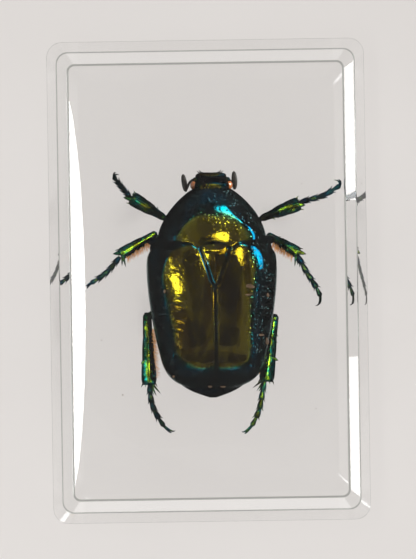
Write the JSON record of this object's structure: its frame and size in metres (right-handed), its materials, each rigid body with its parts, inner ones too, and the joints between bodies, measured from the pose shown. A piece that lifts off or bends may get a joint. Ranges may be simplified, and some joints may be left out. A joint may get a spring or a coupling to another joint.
{
  "type": "insect in resin block",
  "caption": "Metallic flower chafer beetle with spread legs, cast inside a clear rectangular resin block with bevelled front edges.",
  "frame": {"origin": "under the middle of the block, on the plane that its back face rests on", "axes": "+Z out of the front face over the beetle's back, +Y towards the beetle's head, +X to the right when the back is seen with the head up"},
  "size_m": [0.029, 0.044, 0.016],
  "materials": {
    "clear_resin": "polished clear cast polyester resin",
    "wing_cover": "metallic gold-olive chitin, green to blue at the rim",
    "shield": "metallic dark green to gold chitin",
    "underside": "metallic green-black chitin",
    "leg": "metallic green to blue-violet chitin",
    "feeler": "dark brown horn"
  },
  "bodies": {
    "root": {"resin_front": "clear_resin", "resin_back": "clear_resin", "head": "shield", "pronotum": "shield", "scutellum": "wing_cover", "elytron_left": "wing_cover", "elytron_right": "wing_cover", "underbody": "underside", "antenna_left": "feeler", "antenna_right": "feeler", "foreleg_left": "leg", "foreleg_right": "leg", "middle_leg_left": "leg", "middle_leg_right": "leg", "hind_leg_left": "leg", "hind_leg_right": "leg"}
  },
  "joints": []
}
